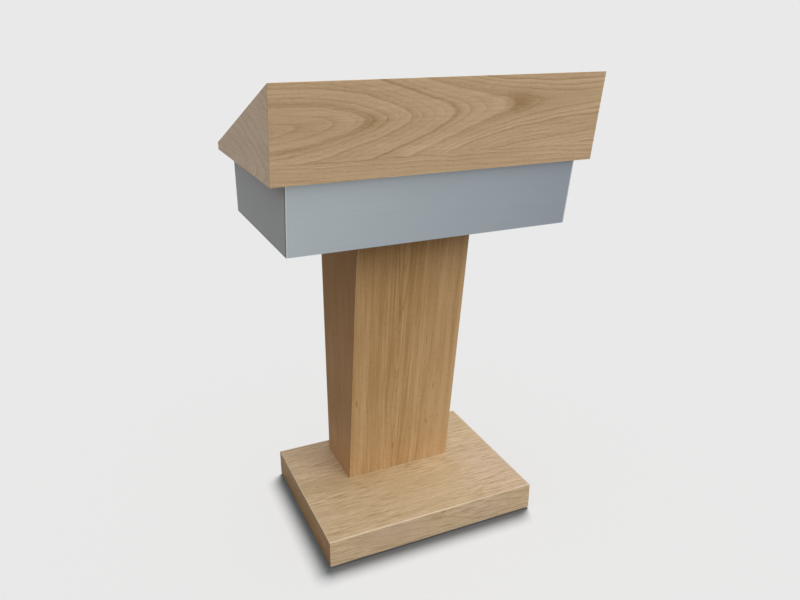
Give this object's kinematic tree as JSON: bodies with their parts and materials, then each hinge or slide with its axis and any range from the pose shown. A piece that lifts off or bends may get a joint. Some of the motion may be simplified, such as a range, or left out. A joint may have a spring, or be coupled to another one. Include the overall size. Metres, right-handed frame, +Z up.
{
  "type": "lectern",
  "caption": "Free-standing lectern: wedge-shaped oak head with a sloping reading board, silver box with an open shelf behind, forward-leaning hollow column and flat rectangular base.",
  "frame": {"origin": "middle of the overall footprint (the head's outline seen from above), on the floor under the glides", "axes": "+Z up; the audience side faces -Y and the speaker stands on the +Y side; +X is to the right for someone in the audience"},
  "size_m": [0.778, 0.5299, 1.1803],
  "materials": {
    "oak_veneer": "satin lacquer over oak veneer",
    "oak_solid": "satin lacquer over solid oak",
    "grey_board": "matt grey sealed fibreboard",
    "silver_laminate": "fine horizontal brushing, satin",
    "core_board": "raw fibreboard",
    "softwood": "planed, unfinished",
    "zinc_steel": "zinc plated",
    "black_plastic": "moulded, matt"
  },
  "bodies": {
    "root": {"head_front_panel": "oak_veneer", "head_left_panel": "oak_veneer", "head_right_panel": "oak_veneer", "reading_board": "oak_veneer", "column_front_panel": "oak_veneer", "column_left_panel": "oak_veneer", "column_right_panel": "oak_veneer", "column_rear_panel": "oak_veneer", "base_top_board": "oak_veneer", "base_front_rail": "oak_veneer", "base_left_rail": "oak_veneer", "base_right_rail": "oak_veneer", "base_rear_rail": "oak_veneer", "head_floor_board": "oak_veneer", "head_rear_lipping": "oak_solid", "paper_stop": "oak_solid", "box_front_panel": "grey_board", "box_left_panel": "grey_board", "box_right_panel": "grey_board", "box_floor_panel": "grey_board", "box_front_laminate": "silver_laminate", "box_left_laminate": "silver_laminate", "box_right_laminate": "silver_laminate", "base_core_upper": "core_board", "base_core_lower": "core_board", "column_foot_plate": "core_board", "column_head_plate": "core_board", "column_batten_front_left": "softwood", "column_batten_front_right": "softwood", "column_batten_rear_left": "softwood", "column_batten_rear_right": "softwood", "reading_batten_left": "softwood", "reading_batten_right": "softwood", "box_cleat_left": "softwood", "box_cleat_right": "softwood", "box_cleat_front": "softwood", "base_coach_screws": "zinc_steel", "base_washers": "zinc_steel", "box_bolts": "zinc_steel", "box_insert_nuts": "zinc_steel", "cleat_screws": "zinc_steel", "floor_glides": "black_plastic"}
  },
  "joints": []
}
